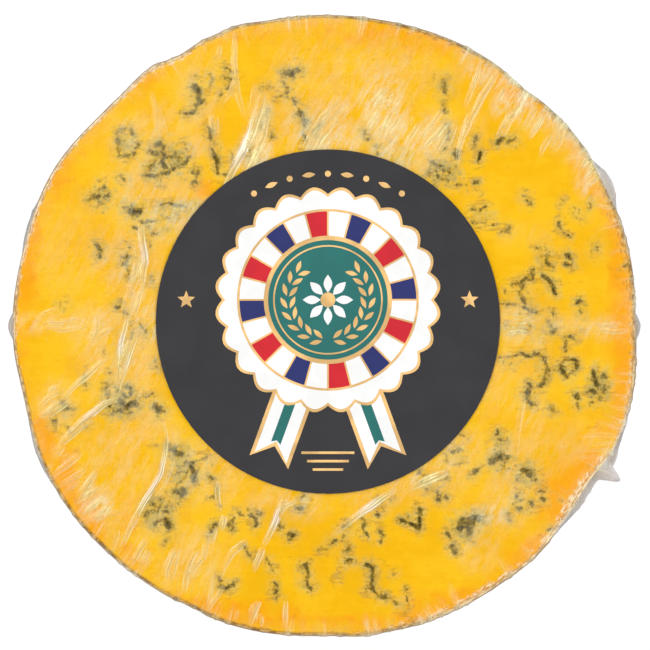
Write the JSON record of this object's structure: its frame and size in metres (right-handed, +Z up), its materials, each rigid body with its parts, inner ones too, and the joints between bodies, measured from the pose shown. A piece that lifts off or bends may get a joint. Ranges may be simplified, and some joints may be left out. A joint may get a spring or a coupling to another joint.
{
  "type": "shropshire blue cheese half wheel",
  "caption": "Half wheel of orange blue-veined cheese, cut face up, wrapped tightly in clear film with a round paper label on the cut face.",
  "frame": {"origin": "middle of the flat base that the half wheel rests on", "axes": "+Z up, out of the cut face; +X along the film's seam, which crosses the cut face; the label's print reads upright towards +Y"},
  "size_m": [0.2039, 0.1999, 0.1208],
  "materials": {
    "wrapped_cheese": "glossy clear film over matte amber paste with grey-green veins and an orange-brown rind",
    "label_paper": "matte charcoal printed paper with gold, teal, white, red and navy fields"
  },
  "bodies": {
    "root": {"cheese_in_film": "wrapped_cheese", "label": "label_paper"}
  },
  "joints": []
}
